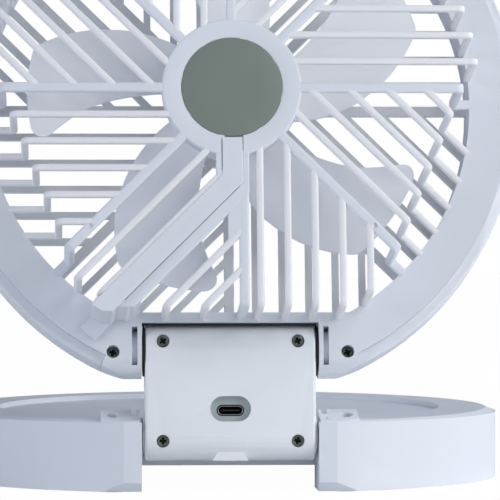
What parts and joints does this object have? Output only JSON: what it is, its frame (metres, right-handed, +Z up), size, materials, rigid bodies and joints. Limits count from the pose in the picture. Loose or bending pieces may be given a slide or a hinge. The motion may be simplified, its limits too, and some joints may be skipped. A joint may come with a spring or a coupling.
{
  "type": "rechargeable folding desk fan",
  "caption": "Folding desk fan: a round head with a slatted grille and blades on a hinge block, over a flat round battery base with a speed dial and a charging socket.",
  "frame": {"origin": "middle of the overall footprint, on the table under the foot pads", "axes": "+Z up, +X to the right as seen from behind, -Y towards the back with the charging socket, +Y the way the air is blown"},
  "size_m": [0.2076, 0.2264, 0.2382],
  "materials": {
    "white_plastic": "fine matte moulding",
    "sage_plastic": "satin grey green",
    "dark_screw_steel": "blackened",
    "plain_steel": "ground",
    "lamination_steel": "dull",
    "magnet": "dull",
    "copper_wire": "enamelled",
    "brass_tube": "turned",
    "circuit_board": "solder mask",
    "battery_foil": "dull foil",
    "black_plastic": "plain",
    "rubber_pad": "soft",
    "lead_sheath": "plain",
    "lamp_lens": "frosted"
  },
  "bodies": {
    "base": {"base_lower_shell": "white_plastic", "base_top_cover": "white_plastic", "base_feet": "rubber_pad", "base_cover_screws": "dark_screw_steel", "base_ear_screws": "dark_screw_steel", "battery_cells": "battery_foil", "control_board": "circuit_board", "dial_pot": "black_plastic", "indicator_lens": "lamp_lens"},
    "hinge_block": {"block_front_shell": "white_plastic", "block_rear_cover": "white_plastic", "block_cover_screws": "dark_screw_steel", "usb_shell": "plain_steel", "usb_tongue": "black_plastic", "usb_board": "circuit_board", "upper_hinge_pins": "plain_steel", "lower_hinge_pins": "plain_steel", "upper_hinge_washers": "black_plastic", "lower_hinge_washers": "white_plastic"},
    "fan_head": {"head_rear_shell": "white_plastic", "head_front_shell": "white_plastic", "front_hub_cap": "white_plastic", "rear_hub_cap": "sage_plastic", "cable_cover": "white_plastic", "motor_lead": "lead_sheath", "head_ear_screws": "dark_screw_steel", "motor_board": "circuit_board", "motor_stator": "lamination_steel", "motor_coils": "copper_wire", "bearing_tube": "brass_tube", "motor_bearings": "plain_steel"},
    "rotor": {"fan_blades": "white_plastic", "rotor_can": "plain_steel", "magnet_ring": "magnet", "motor_shaft": "plain_steel", "shaft_clip": "plain_steel"},
    "speed_dial": {"dial_shaft": "black_plastic", "dial_knob": "white_plastic"}
  },
  "joints": [
    {"name": "block_fold", "type": "hinge", "parent": "base", "child": "hinge_block", "pos_m": [0, -0.07792, 0.02], "axis": [1, 0, 0], "range_deg": [0, 90]},
    {"name": "head_tilt", "type": "hinge", "parent": "hinge_block", "child": "fan_head", "pos_m": [0, -0.07792, 0.0495], "axis": [1, 0, 0], "range_deg": [-79, 41]},
    {"name": "rotor_spin", "type": "hinge", "parent": "fan_head", "child": "rotor", "pos_m": [0, -0.06126, 0.1352], "axis": [0, -0.9816, 0.1908], "continuous": true},
    {"name": "dial_turn", "type": "hinge", "parent": "base", "child": "speed_dial", "pos_m": [0, 0.05918, 0.03], "axis": [0, 0, 1], "range_deg": [0, 270]}
  ]
}
